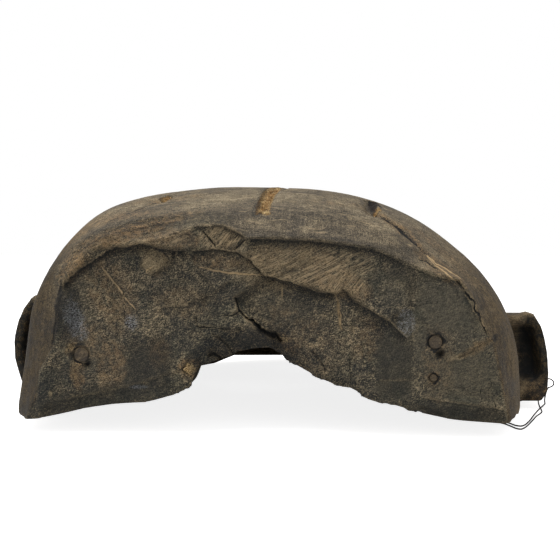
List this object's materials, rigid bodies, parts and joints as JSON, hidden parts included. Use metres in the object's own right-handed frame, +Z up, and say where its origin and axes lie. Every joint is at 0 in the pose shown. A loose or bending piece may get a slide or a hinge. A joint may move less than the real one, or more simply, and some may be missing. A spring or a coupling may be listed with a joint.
{
  "type": "shaman mask",
  "caption": "Hollow carved wooden face mask with a blunt forehead end, arched lower edge, ears, plugged holes and a thin hanging wire.",
  "frame": {"origin": "middle of the box of the mask without its wire, on the ground that its back rim rests on", "axes": "+Y from the forehead end to the chin, +Z up through the face as the mask lies, +X towards the ear with the wire"},
  "size_m": [0.2449, 0.27, 0.1044],
  "materials": {
    "mask_wood": "old dark hardwood, hand-cut with an adze, worn and matte",
    "peg_wood": "dark end grain",
    "iron_wire": "thin dark iron wire"
  },
  "bodies": {
    "root": {"mask_body": "mask_wood", "peg_left": "peg_wood", "peg_right": "peg_wood", "peg_small": "peg_wood", "wire_outer_loop": "iron_wire", "wire_outer": "iron_wire", "wire_inner_start": "iron_wire", "wire_inner": "iron_wire"}
  },
  "joints": []
}
